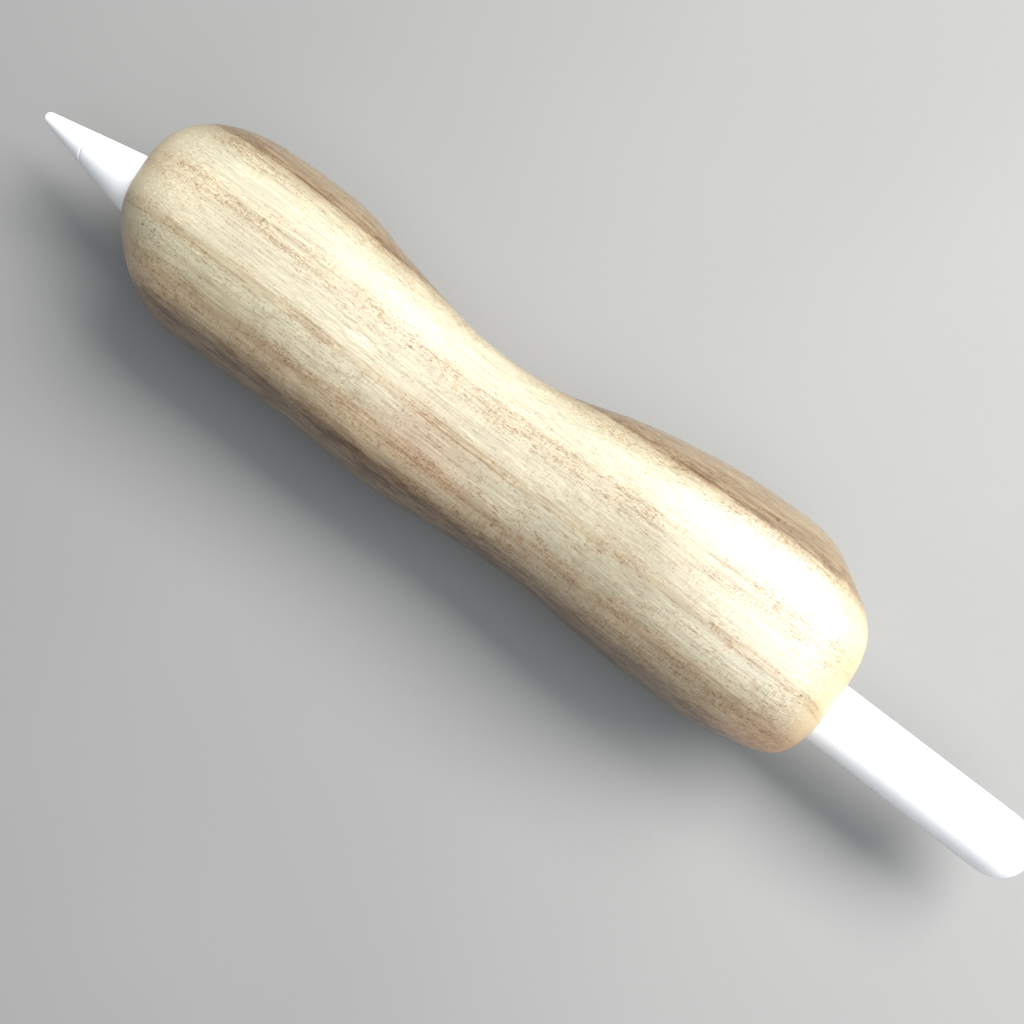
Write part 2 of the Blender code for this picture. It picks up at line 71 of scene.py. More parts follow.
BARREL_BORE_RADIUS = 3.65
BARREL_BORE_END_RADIUS = 2.4
BARREL_FRONT = 20.35
BARREL_FLAT_DEPTH = 0.35
BARREL_FLAT_RANGE = (62.0, 148.0)
BARREL_FLAT_RUN_OUT = 4.0
TAIL_DOME_LENGTH = 4.8
TAIL_DOME_SQUARENESS = 2.15
FIT_GAP = 0.05

TIP_RADIUS = 0.95
CONE_HALF_ANGLE = math.radians(12.0)
SHOULDER_START = 14.8
SHOULDER_END = 19.8
NIB_LENGTH = 8.4
NIB_GAP = 0.2
NIB_SOCKET_START = 4.7
NIB_SOCKET_RADIUS = 1.36
PIN_HOLE_START = 1.3
PIN_HOLE_RADIUS = 0.62
LIP_ROUNDING = 0.12

NOSE_BORE_RADIUS = 1.6
NOSE_ROOM_START = 13.0
NOSE_ROOM_RADIUS = 2.75
SPIGOT_END = 24.0

THREAD_RADIUS = 0.85
THREAD_PITCH = 0.5
THREAD_DEPTH = 0.075

POST_START = 4.9
POST_THREAD = (5.0, 8.2)
POST_NECK_RADIUS = 0.7
POST_COLLAR = (8.45, 9.0)
POST_COLLAR_RADIUS = 1.3
POST_FLANGE = (15.4, 16.0)
POST_FLANGE_RADIUS = 2.0

INSERT_START = 4.8
INSERT_END = 8.35
INSERT_RADIUS = 1.3
INSERT_CLEARANCE = 0.1
BEVEL = 0.04

GRIP_TAIL_X = -50.0
GRIP_NIB_X = 63.5
GRIP_BORE_RADIUS = 4.55
GRIP_BORE_CHAMFER = 0.35
GRIP_BORE_STEPS = 40
GRIP_MOUTH_INSET = 0.1
AXIS_HEIGHT = 13.0

# x, then how far the wood reaches from the bore axis towards -Y, towards +Y, up and down
GRIP_STATIONS = (
    (-50.0, 14.1, 11.1, 13.0, 13.2),
    (-44.0, 15.2, 10.8, 13.6, 13.4),
    (-38.0, 17.9, 11.8, 13.9, 13.5),
    (-31.0, 18.3, 12.0, 14.0, 13.5),
    (-21.0, 17.6, 12.0, 13.6, 13.3),
    (-10.0, 15.4, 11.4, 12.5, 12.4),
    (1.0, 12.2, 12.0, 11.4, 11.7),
    (13.0, 11.6, 13.4, 11.1, 11.6),
    (28.0, 14.0, 13.0, 12.2, 12.8),
    (36.0, 15.9, 13.1, 12.8, 13.3),
    (43.0, 16.2, 13.3, 13.1, 13.5),
    (53.0, 15.8, 13.3, 13.1, 13.4),
    (59.0, 15.2, 12.0, 12.8, 13.1),
    (64.0, 14.2, 9.8, 12.3, 12.8),
)
SQUARENESS_TOP_HOLLOW_SIDE = 2.9
SQUARENESS_TOP_FULL_SIDE = 2.3
SQUARENESS_BOTTOM = 2.6
Rounding = namedtuple(
    "Rounding", "face length lean squareness hollow_share full_share hollow_power full_power"
)
TAIL_END = Rounding(GRIP_TAIL_X, 9.8, 0.0, 2.2, 0.47, 0.48, 2.34, 2.7)
NIB_END = Rounding(GRIP_NIB_X, -14.5, -0.14, 2.0, 0.475, 0.515, 1.93, 1.75)

# ---------------------------------------------------------------- mesh helpers

GRIP_SEGMENTS = 288
GRIP_RING_SPACING = 0.33
GRIP_END_STEPS = 40
TURNED_SEGMENTS = 144


def grid_mesh(name, rings, close_ends):
    """Smooth mesh from rings of points, an array of (ring, place around, xyz) in metres.
    With close_ends the first and last ring are shut by a fan, otherwise the last ring joins the first."""
    count, around = rings.shape[:2]
    verts = rings.reshape(-1, 3)
    base = np.arange(count * around).reshape(count, around)
    following = np.roll(base, -1, axis=1)
    rows = count - 1 if close_ends else count
    upper = np.roll(base, -1, axis=0)
    upper_following = np.roll(following, -1, axis=0)
    quads = np.stack([base, following, upper_following, upper], axis=-1)[:rows].reshape(-1, 4)
    faces = [tuple(quad) for quad in quads.tolist()]
    if close_ends:
        for ring in (0, count - 1):
            centre = len(verts)
            verts = np.vstack([verts, rings[ring].mean(axis=0)])
            for a, b in zip(base[ring], following[ring]):
                faces.append((int(b), int(a), centre) if ring == 0 else (int(a), int(b), centre))
    mesh = bpy.data.meshes.new(name)
    mesh.from_pydata(verts.tolist(), [], faces)
    mesh.validate()
    mesh.shade_smooth()
    return mesh


def face_outwards(mesh):
    """Turns a closed mesh inside out if its volume comes out negative."""
    mesh.calc_loop_triangles()
    co = np.empty(len(mesh.vertices) * 3)
    mesh.vertices.foreach_get("co", co)
    co = co.reshape(-1, 3)
    tri = np.array([t.vertices[:] for t in mesh.loop_triangles])
    a, b, c = co[tri[:, 0]], co[tri[:, 1]], co[tri[:, 2]]
    if np.einsum("ij,ij->i", a, np.cross(b, c)).sum() < 0.0:
        mesh.flip_normals()


def add_piece(name, mesh, material, body, node):
    """Puts a finished mesh in the scene as the look of one CAD node."""
    face_outwards(mesh)
    mesh.materials.append(material)
    obj = bpy.data.objects.new(name, mesh)
    bpy.context.scene.collection.objects.link(obj)
    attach(obj, body)
    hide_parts(node)


def turned_mesh(name, outline, shape=None, sharp_degrees=30.0):
    """Mesh turned about the stylus axis from (s, radius) points in millimetres. shape may move the points:
    it takes arrays of s, radius and angle and gives the new radius. An outline that touches the axis at both
    ends gives a solid."""
    points = np.array(outline, float)
    solid = points[0, 1] == 0.0 and points[-1, 1] == 0.0
    if solid:
        points = points[1:-1]
    angles = np.arange(TURNED_SEGMENTS) * (2.0 * math.pi / TURNED_SEGMENTS)
    s = np.repeat(points[:, :1], TURNED_SEGMENTS, axis=1)
    radius = np.repeat(points[:, 1:], TURNED_SEGMENTS, axis=1)
    angle = np.repeat(angles[None, :], len(points), axis=0)
    if shape is not None:
        radius = shape(s, radius, angle)
    rings = np.stack([
        NIB_TIP_X - s * MM,
        AXIS_Y + radius * np.sin(angle) * MM,
        AXIS_Z + radius * np.cos(angle) * MM,
    ], axis=-1)
    mesh = grid_mesh(name, rings, close_ends=solid)
    if solid:
        tip = [outline[0][0], outline[-1][0]]
        for vertex, s_end in zip((len(mesh.vertices) - 2, len(mesh.vertices) - 1), tip):
            mesh.vertices[vertex].co = (NIB_TIP_X - s_end * MM, AXIS_Y, AXIS_Z)
    mesh.set_sharp_from_angle(angle=math.radians(sharp_degrees))
    return mesh


# ---------------------------------------------------------------- node graphs for materials

class Graph:
    """One material's node tree, built with short calls."""

    def __init__(self, name, **shader_values):
        self.material = bpy.data.materials.new(name)
        self.material.use_nodes = True
        self.tree = self.material.node_tree
        self.shader = self.tree.nodes["Principled BSDF"]
        for key, value in shader_values.items():
            self.shader.inputs[key.replace("_", " ").title().replace("Ior", "IOR")].default_value = value

    def feed(self, socket, value):
        if isinstance(value, bpy.types.NodeSocket):
            self.tree.links.new(value, socket)
        else:
            socket.default_value = value

    def node(self, kind, inputs=(), **settings):
        node = self.tree.nodes.new(kind)
        for key, value in settings.items():
            setattr(node, key, value)
        for key, value in inputs:
            self.feed(node.inputs[key], value)
        return node

    def place(self):
        """Place on the piece in millimetres from the stylus axis, fixed to the piece."""
        coords = self.node("ShaderNodeTexCoord").outputs["Object"]
        mapping = self.node("ShaderNodeMapping", [
            ("Vector", coords),
            ("Location", (0.0, -AXIS_Y / MM, -AXIS_Z / MM)),
            ("Scale", (1.0 / MM, 1.0 / MM, 1.0 / MM)),
        ])
        return mapping.outputs["Vector"]

    def stretch(self, vector, sizes):
        """Divides each coordinate by a size, so that one unit of the result is that many millimetres."""
        scale = tuple(1.0 / size for size in sizes)
        return self.node("ShaderNodeMapping", [("Vector", vector), ("Scale", scale)]).outputs["Vector"]

    def noise(self, vector, sizes, detail=2.0, roughness=0.5):
        return self.node("ShaderNodeTexNoise", [
            ("Vector", self.stretch(vector, sizes)), ("Scale", 1.0),
            ("Detail", detail), ("Roughness", roughness),
        ]).outputs["Fac"]

    def cells(self, vector, sizes):
        """Distance to the nearest of scattered points, in units of the sizes."""
        return self.node("ShaderNodeTexVoronoi", [
            ("Vector", self.stretch(vector, sizes)), ("Scale", 1.0),
        ]).outputs["Distance"]

    def falloff(self, vector, centre, sizes):
        """1 at a centre, easing to 0 where the distance equals the sizes, both in millimetres."""
        offset = self.node("ShaderNodeVectorMath", [(0, vector), (1, centre)], operation="SUBTRACT")
        gone = self.length(self.stretch(offset.outputs[0], sizes))
        return self.step(gone, 0.0, 1.0, 1.0, 0.0)

    def length(self, vector):
        return self.node("ShaderNodeVectorMath", [(0, vector)], operation="LENGTH").outputs["Value"]

    def math(self, operation, a, b=0.0, clamp=False):
        return self.node("ShaderNodeMath", [(0, a), (1, b)], operation=operation, use_clamp=clamp).outputs[0]

    def axes(self, vector):
        return self.node("ShaderNodeSeparateXYZ", [(0, vector)]).outputs

    def step(self, value, low, high, out_low=0.0, out_high=1.0):
        """Smooth step of a value between two limits."""
        return self.map_range(value, low, high, out_low, out_high, "SMOOTHSTEP")

    def level(self, value, low, high, out_low, out_high):
        """Straight change of a value from one range into another."""
        return self.map_range(value, low, high, out_low, out_high, "LINEAR")

    def map_range(self, value, low, high, out_low, out_high, curve):
        return self.node("ShaderNodeMapRange", [
            ("Value", value), ("From Min", low), ("From Max", high),
            ("To Min", out_low), ("To Max", out_high),
        ], interpolation_type=curve).outputs["Result"]

    def ramp(self, value, stops):
        node = self.node("ShaderNodeValToRGB", [("Fac", value)])
        elements = node.color_ramp.elements
        while len(elements) < len(stops):
            elements.new(0.5)
        for element, (position, colour) in zip(elements, stops):
            element.position = position
            element.color = (*colour, 1.0)
        return node.outputs["Color"]

    def mix(self, factor, a, b, blend="MIX"):
        return self.node("ShaderNodeMix", [(0, factor), (6, a), (7, b)],
                         data_type="RGBA", blend_type=blend).outputs[2]

    def mark(self, strength, colour, shade):
        """Multiplies a colour by a shade where the mark's strength says so."""
        return self.mix(strength, colour, self.mix(1.0, colour, rgba(*shade), "MULTIPLY"))

    def bump(self, height, distance_mm, strength=1.0):
        node = self.node("ShaderNodeBump", [
            ("Height", height), ("Distance", distance_mm * MM), ("Strength", strength),
        ])
        self.feed(self.shader.inputs["Normal"], node.outputs["Normal"])

    def finish(self, colour, roughness):
        self.feed(self.shader.inputs["Base Color"], colour)
        self.feed(self.shader.inputs["Roughness"], roughness)
        return self.material


def rgba(red, green, blue):
    return (red, green, blue, 1.0)


def scaled(colour, factor):
    return tuple(factor * channel for channel in colour)


# ---------------------------------------------------------------- the wood

GRAIN_SLOPE = 0.0095     # how much the growth layers drift sideways along the blank
GRAIN_TILT = 0.06        # and how much they lean from bottom to top
GRAIN_RANGE = (-20.0, 16.0)

# Growth layers across the blank, from the deep hollow's side (-Y) to the full side: place in millimetres from
# the bore axis, and the wood's colour there. From 10.8 mm on, the darker rows are partly painted shade.
GROWTH_AND_EDGE_SHADE_COLOURS = (
    (-20.0, (0.310, 0.250, 0.168)),
    (-15.0, (0.275, 0.216, 0.140)),
    (-13.2, (0.248, 0.187, 0.116)),
    (-12.0, (0.238, 0.174, 0.104)),
    (-11.4, (0.333, 0.272, 0.176)),
    (-9.8, (0.440, 0.392, 0.276)),
    (-7.6, (0.495, 0.460, 0.345)),
    (-4.6, (0.478, 0.424, 0.310)),
    (-2.6, (0.456, 0.402, 0.294)),
    (-0.8, (0.470, 0.428, 0.318)),
    (1.6, (0.458, 0.413, 0.303)),
    (2.9, (0.410, 0.349, 0.243)),
    (3.9, (0.435, 0.400, 0.298)),
    (6.4, (0.410, 0.365, 0.266)),
    (8.0, (0.400, 0.318, 0.212)),
    (9.6, (0.425, 0.340, 0.228)),
    # From here to the full side's edge the colours are darkened, partly as painted shade.
    (10.8, (0.340, 0.256, 0.160)),
    (11.8, (0.215, 0.152, 0.090)),
    (13.0, (0.255, 0.188, 0.112)),
    (16.0, (0.245, 0.180, 0.107)),
)

# Thin brown lines at the edges of growth layers: place, then strength.
GROWTH_LINES = (
    (-15.8, 0.0), (-15.5, 0.45), (-15.2, 0.0), (-14.5, 0.0), (-14.2, 0.60), (-14.0, 0.0), (-13.4, 0.0),
    (-13.2, 0.50), (-13.0, 0.0), (-12.2, 0.0), (-11.8, 0.90), (-11.5, 0.0), (-4.5, 0.0), (-4.2, 0.45),
    (-4.0, 0.05), (-3.1, 0.0), (-2.9, 0.40), (-2.7, 0.0), (2.2, 0.0), (2.4, 0.85), (2.6, 0.10), (3.0, 0.15),
    (3.2, 0.90), (3.4, 0.05), (7.1, 0.0), (7.3, 0.60), (7.5, 0.05), (8.4, 0.50), (8.6, 0.0), (11.3, 0.0),
    (11.6, 0.80), (12.0, 0.3),
)
# How crowded the open pores are: place, then strength.
PORE_CROWDING = (
    (-20.0, 0.60), (-12.5, 0.80), (-11.6, 1.0), (-10.2, 0.90), (-8.6, 0.45), (-6.4, 0.20), (-5.2, 0.60),
    (-4.2, 1.0), (-2.2, 0.90), (-1.2, 0.55), (0.4, 0.40), (1.8, 0.60), (3.2, 0.85), (4.2, 0.70), (6.0, 0.74),
    (7.6, 0.96), (9.2, 0.95), (10.6, 1.0), (12.0, 1.0), (16.0, 0.9),
)
# Where dark streaks run in the brown outer layers: place, then strength. At the full side's edge they are
# partly painted shade.
STREAK_AND_EDGE_SHADE_BANDS = (
    (-20.0, 0.30), (-13.4, 0.35), (-12.0, 0.75), (-11.3, 0.0), (9.8, 0.0), (11.2, 0.75), (12.2, 1.0),
    (16.0, 0.7),
)
# What each mark does to the wood's colour.
LINE_SHADE = (0.55, 0.39, 0.25)
PORE_SHADE = (0.60, 0.42, 0.27)
SPECK_SHADE = (0.62, 0.46, 0.32)
TICK_SHADE = (0.76, 0.60, 0.44)
STREAK_SHADE = (0.42, 0.30, 0.20)
FLECK_BLACK = (0.018, 0.012, 0.009)

# Stains in the wood: centre and size in millimetres, tint, strength. The one over the nib's bulge is partly
# painted shade.
STAINS_AND_SHADE = (
    ((10.0, 5.0, 12.0), (13.0, 6.5, 9.0), (0.880, 0.740, 0.700), 0.90),
    ((-46.0, 7.0, 6.0), (9.0, 8.0, 14.0), (1.120, 0.930, 0.840), 0.90),
    ((-42.0, 10.0, 3.0), (13.0, 6.0, 12.0), (1.450, 1.260, 1.140), 1.0),
    # Greenish and darker over the nib's bulge: partly the wood's tint, partly painted shade.
    ((43.0, 6.0, 10.0), (28.0, 6.5, 14.0), (0.820, 0.820, 0.750), 0.85),
    ((-20.0, 1.0, 12.0), (19.0, 9.0, 12.0), (0.670, 0.640, 0.580), 0.90),
    ((58.0, -2.0, 10.0), (13.0, 9.0, 12.0), (1.300, 1.270, 1.220), 1.0),
    ((55.0, 9.0, 4.0), (13.0, 8.0, 13.0), (1.360, 1.300, 1.220), 1.0),
)
# The one small eye, a pale lens that parts the growth layers.
EYE_CENTRE = (24.2, -0.2, 11.0)
EYE_SIZE = (4.8, 1.35, 9.0)
EYE_SPREAD = 1.1
EYE_COLOUR = (0.560, 0.530, 0.430)
END_GRAIN_TINT = (1.14, 1.03, 0.84)
# Painted shade inside the bore and on its mouth.
BORE_PAINTED_SHADE = (0.090, 0.052, 0.026)
WOOD_BUMP = 0.034


def strength_ramp(g, place_mm, table):
    """Reads a (place, strength) table over the growth coordinate, with straight lines between its rows."""
    low, high = table[0][0], table[-1][0]
    stops = [((mm - low) / (high - low), (value, value, value)) for mm, value in table]
    return g.ramp(g.level(place_mm, low, high, 0.0, 1.0), stops)


def wood_material():
    """Pale sapwood between browner layers: growth layers first, then stains, lines, fibres and pores. Part of
    the
    darkening is painted shade: at the full side's edge and over the nib's bulge, and all of it in the bore.
    """
    g = Graph("carved_wood", coat_weight=0.70, coat_roughness=0.33, ior=1.48)
    place = g.place()
    x, y, z = g.axes(place)

    # The growth coordinate: nearly y, leaning along the blank, wandering slowly and parted by one small eye.
    drift = g.noise(place, (52.0, 14.0, 14.0), detail=1.0)
    wander = g.noise(place, (10.0, 2.4, 2.4), detail=2.0)
    ripple = g.noise(place, (1.8, 0.35, 0.35), detail=3.0)
    layer = g.math("ADD", y, g.math("MULTIPLY", x, -GRAIN_SLOPE))
    layer = g.math("ADD", layer, g.math("MULTIPLY", z, GRAIN_TILT))
    layer = g.math("ADD", layer, g.level(drift, 0.0, 1.0, -1.1, 1.1))
    layer = g.math("ADD", layer, g.level(wander, 0.0, 1.0, -0.34, 0.34))
    eye = g.falloff(place, EYE_CENTRE, EYE_SIZE)
    eye_rim = g.math("MULTIPLY", g.step(eye, 0.10, 0.26), g.step(eye, 0.30, 0.50, 1.0, 0.0))
    eye_side = g.math("SUBTRACT", y, EYE_CENTRE[1])
    parted = g.math("MULTIPLY", g.math("MULTIPLY", eye, eye_side), -EYE_SPREAD)
    layer = g.math("ADD", layer, parted)
    fine_layer = g.math("ADD", layer, g.level(ripple, 0.0, 1.0, -0.30, 0.30))
    feather = g.noise(place, (6.0, 0.5, 0.5), detail=3.0)
    soft_layer = g.math("ADD", layer, g.level(feather, 0.0, 1.0, -0.9, 0.9))

    low, high = GRAIN_RANGE
    # The growth layers' colours, darker at the full side's edge partly as painted shade.
    stops = [((mm - low) / (high - low), colour) for mm, colour in GROWTH_AND_EDGE_SHADE_COLOURS]
    colour = g.ramp(g.level(soft_layer, low, high, 0.0, 1.0), stops)
    colour = g.mix(g.math("MULTIPLY", g.step(eye, 0.30, 0.80), 0.55), colour, rgba(*EYE_COLOUR))

    # Stains; the one over the nib's bulge is partly painted shade.
    for centre, size, tint, strength in STAINS_AND_SHADE:
        reach = g.falloff(place, centre, size)
        reach = g.math("MULTIPLY", reach, g.level(wander, 0.3, 0.7, 0.75, 1.2))
        colour = g.mark(g.math("MULTIPLY", reach, strength), colour, tint)

    # End grain: here the fibres are cut across, so their patterns fade.
    normal = g.node("ShaderNodeTexCoord").outputs["Normal"]
    end_on = g.step(g.math("ABSOLUTE", g.axes(normal)[0]), 0.28, 0.80)
    along_grain = g.level(end_on, 0.0, 1.0, 1.0, 0.12)

    # Brown lines where growth layers meet; they fade in and out along the blank.
    fading = g.step(g.noise(place, (9.0, 2.4, 2.4), detail=3.0, roughness=0.6), 0.38, 0.60, 0.12, 1.0)
    line = g.math("MULTIPLY", strength_ramp(g, fine_layer, GROWTH_LINES), fading)
    line = g.math("MAXIMUM", line, g.math("MULTIPLY", eye_rim, g.step(ripple, 0.35, 0.65, 0.0, 0.45)))
    colour = g.mark(g.math("MULTIPLY", line, 0.85), colour, LINE_SHADE)

    # Fibres: fine pale and dark threads along the grain, and short glints between them.
    thread = g.noise(place, (8.0, 0.23, 0.23), detail=3.0, roughness=0.62)
    strand = g.noise(place, (22.0, 0.85, 0.85), detail=3.0, roughness=0.6)
    tone = g.level(strand, 0.25, 0.75, 0.92, 1.07)
    tone = g.math("MULTIPLY", tone, g.level(thread, 0.28, 0.72, 0.74, 1.22))
    glint = g.step(g.noise(place, (5.0, 0.20, 0.20), detail=1.0), 0.62, 0.70, 1.0, 1.20)
    tone = g.math("MULTIPLY", tone, glint)
    tone = g.math("ADD", 1.0, g.math("MULTIPLY", g.math("SUBTRACT", tone, 1.0), along_grain))
    tone_colour = g.node("ShaderNodeCombineColor", [("Red", tone), ("Green", tone), ("Blue", tone)])
    colour = g.mix(1.0, colour, tone_colour.outputs[0], "MULTIPLY")

    # Open pores: short brown dashes along the grain, fine speckle between them, and long dark streaks.
    crowding = strength_ramp(g, layer, PORE_CROWDING)
    patch = g.noise(place, (7.5, 1.6, 1.6), detail=3.0, roughness=0.6)
    crowd = g.math("MULTIPLY", crowding, g.step(patch, 0.36, 0.60, 0.25, 1.0))
    dash = g.noise(place, (1.15, 0.19, 0.19), detail=2.0, roughness=0.55)
    dash_gate = g.math("SUBTRACT", 0.70, g.math("MULTIPLY", crowd, 0.165))
    dash = g.math("MULTIPLY", g.math("SUBTRACT", dash, dash_gate), 12.0, clamp=True)
    dash = g.math("MULTIPLY", dash, along_grain)
    colour = g.mark(g.math("MULTIPLY", dash, 0.72), colour, PORE_SHADE)
    speck = g.noise(place, (0.36, 0.22, 0.22), detail=2.0, roughness=0.6)
    speck_gate = g.math("SUBTRACT", 0.66, g.math("MULTIPLY", crowd, 0.150))
    speck = g.math("MULTIPLY", g.math("SUBTRACT", speck, speck_gate), 12.0, clamp=True)
    speck = g.math("MULTIPLY", speck, along_grain)
    colour = g.mark(g.math("MULTIPLY", speck, 0.80), colour, SPECK_SHADE)
    # At the full side's edge the dark streaks are partly painted shade.
    streak = g.noise(place, (4.5, 0.40, 0.85), detail=3.0, roughness=0.65)
    streak = g.math("MULTIPLY", g.step(streak, 0.47, 0.58), strength_ramp(g, fine_layer, STREAK_AND_EDGE_SHADE_BANDS))
    streak = g.math("MULTIPLY", streak, along_grain)
    colour = g.mark(g.math("MULTIPLY", streak, 0.80), colour, STREAK_SHADE)

    # Ladders of cross ticks, where rays are cut across.
    ladder_patch = g.step(g.noise(place, (8.0, 2.0, 2.0), detail=1.0), 0.46, 0.60)
    ladder = g.step(g.noise(place, (0.26, 1.3, 1.3), detail=1.0), 0.52, 0.66)
    ladder = g.math("MULTIPLY", g.math("MULTIPLY", ladder, ladder_patch), crowding)
    ladder = g.math("MULTIPLY", ladder, along_grain)
    colour = g.mark(g.math("MULTIPLY", ladder, 0.65), colour, TICK_SHADE)

    # Black flecks, a few over the whole grip.
    fleck = g.step(g.cells(place, (5.5, 4.5, 4.5)), 0.024, 0.036, 1.0, 0.0)
    colour = g.mix(g.math("MULTIPLY", fleck, 0.85), colour, rgba(*FLECK_BLACK))

    # The sanded end grain is warmer, and the drilled bore and its mouth are darkened as painted shade.
    colour = g.mark(g.math("MULTIPLY", end_on, 0.80), colour, END_GRAIN_TINT)
    reach = g.math("SQRT", g.math("ADD", g.math("MULTIPLY", y, y), g.math("MULTIPLY", z, z)))
    in_bore = g.step(reach, GRIP_BORE_RADIUS + 0.05, GRIP_BORE_RADIUS + 0.45, 0.85, 0.0)
    colour = g.mix(in_bore, colour, rgba(*BORE_PAINTED_SHADE))

    roughness = g.math("ADD", g.level(thread, 0.2, 0.8, 0.40, 0.54), g.math("MULTIPLY", dash, 0.2))
    roughness = g.math("ADD", roughness, g.math("MULTIPLY", end_on, 0.08))
    height = g.math("ADD", g.math("MULTIPLY", thread, 0.5), g.math("MULTIPLY", strand, 0.5))
    height = g.math("SUBTRACT", height, g.math("MULTIPLY", dash, 0.25))
    height = g.math("SUBTRACT", height, g.math("MULTIPLY", ladder, 0.10))
    g.bump(g.math("MULTIPLY", height, along_grain), WOOD_BUMP, 0.8)
    return g.finish(colour, roughness)


def smooth_columns(stations, xs):
    """The four reaches at each x, on smooth curves through the stations."""
    table = np.array(stations)
    knots = table[:, 0]
    values = table[:, 1:]
    before = np.maximum(np.arange(len(knots)) - 1, 0)
    after = np.minimum(np.arange(len(knots)) + 1, len(knots) - 1)
    slopes = (values[after] - values[before]) / (knots[after] - knots[before])[:, None]
    i = np.clip(np.searchsorted(knots, xs, side="right") - 1, 0, len(knots) - 2)
    span = (knots[i + 1] - knots[i])[:, None]
    t = (xs[:, None] - knots[i][:, None]) / span
    rise = 3.0 * t ** 2 - 2.0 * t ** 3
    bend = slopes[i] * (t - 2.0 * t ** 2 + t ** 3) + slopes[i + 1] * (t ** 3 - t ** 2)
    return values[i] + (values[i + 1] - values[i]) * rise + span * bend


def end_rings(end):
    """Rows of x, -Y side's share, +Y side's share and lean for one rounded end, from its face inwards."""
    turn = np.linspace(0.0, 0.5 * math.pi, GRIP_END_STEPS, endpoint=False)
    along = 1.0 - np.cos(turn) ** (2.0 / end.squareness)
    hollow_share = end.hollow_share + (1.0 - end.hollow_share) * np.sin(turn) ** (2.0 / end.hollow_power)
    full_share = end.full_share + (1.0 - end.full_share) * np.sin(turn) ** (2.0 / end.full_power)
    x = end.face + end.length * along
    return np.stack([x, hollow_share, full_share, end.lean * (1.0 - along)], axis=1)


def grip_rings():
    """Rows of x, both sides' shares and lean from one end of the grip to the other."""
    start = TAIL_END.face + TAIL_END.length
    end = NIB_END.face + NIB_END.length
    xs = np.linspace(start, end, round((end - start) / GRIP_RING_SPACING))
    whole = np.ones_like(xs)
    body = np.stack([xs, whole, whole, np.zeros_like(xs)], axis=1)
    return np.vstack([end_rings(TAIL_END), body, end_rings(NIB_END)[::-1]])


KNIFE_FLAT_DEPTH = 0.16
SANDING_RIPPLE_DEPTH = 0.07


def knife_marks(x, angle):
    """Height in millimetres that carving and sanding leave on the surface: long shallow flats and ripples."""
    a = angle * 2.2
    slow = noise.noise(Vector((x / 26.0, math.cos(a), math.sin(a) + 7.0)))
    fine = noise.noise(Vector((x / 9.0 + 31.0, 2.4 * math.cos(angle), 2.4 * math.sin(angle))))
    return KNIFE_FLAT_DEPTH * slow + SANDING_RIPPLE_DEPTH * fine


def make_grip():
    """The wood: its outside from one end to the other, then back through the bore."""
    angles = np.arange(GRIP_SEGMENTS) * (2.0 * math.pi / GRIP_SEGMENTS)
    rings = grip_rings()
    reaches = smooth_columns(GRIP_STATIONS, rings[:, 0])
    across = np.cos(angles)[None, :]
    rise = np.sin(angles)[None, :]
    side = np.where(across < 0.0, reaches[:, 0:1], reaches[:, 1:2])
    height = np.where(rise >= 0.0, reaches[:, 2:3], reaches[:, 3:4])
    power = np.where(rise < 0.0, SQUARENESS_BOTTOM,
                     np.where(across < 0.0, SQUARENESS_TOP_HOLLOW_SIDE, SQUARENESS_TOP_FULL_SIDE))
    radius = ((np.abs(across) / side) ** power + (np.abs(rise) / height) ** power) ** (-1.0 / power)
    share = rings[:, 1:2] + (rings[:, 2:3] - rings[:, 1:2]) * 0.5 * (1.0 + across)
    marks = np.array([[knife_marks(x, a) for a in angles] for x in rings[:, 0]])
    radius = radius * share + np.minimum(marks, 0.0) * np.clip((share - 0.6) / 0.4, 0.0, 1.0)

    mouth = GRIP_BORE_RADIUS + GRIP_BORE_CHAMFER
    straight = np.linspace(NIB_END.face - 3.0, TAIL_END.face + 3.0, GRIP_BORE_STEPS)
    bore = [(NIB_END.face - GRIP_MOUTH_INSET, mouth, NIB_END.lean)]
    bore += [(NIB_END.face - GRIP_BORE_CHAMFER, GRIP_BORE_RADIUS, NIB_END.lean)]
    bore += [(x, GRIP_BORE_RADIUS, 0.0) for x in straight]
    bore += [(TAIL_END.face + GRIP_BORE_CHAMFER, GRIP_BORE_RADIUS, TAIL_END.lean)]
    bore += [(TAIL_END.face + GRIP_MOUTH_INSET, mouth, TAIL_END.lean)]
    xs = np.concatenate([rings[:, 0], [row[0] for row in bore]])
    leans = np.concatenate([rings[:, 3], [row[2] for row in bore]])
    radius = np.vstack([radius, np.array([[row[1]] * GRIP_SEGMENTS for row in bore])])

    ys = radius * across
    zs = np.maximum(radius * rise, -AXIS_HEIGHT)
    points = np.stack([
        (xs[:, None] + leans[:, None] * ys) * MM,
        AXIS_Y + ys * MM,
        AXIS_Z + zs * MM,
    ], axis=-1)
    points = np.clip(points, np.array(grip_low), np.array(grip_high))
    mesh = grid_mesh("grip_wood", points, close_ends=False)
    add_piece("grip_wood", mesh, wood_material(), "wooden_grip", "grip")


# ---------------------------------------------------------------- plastics of the stylus

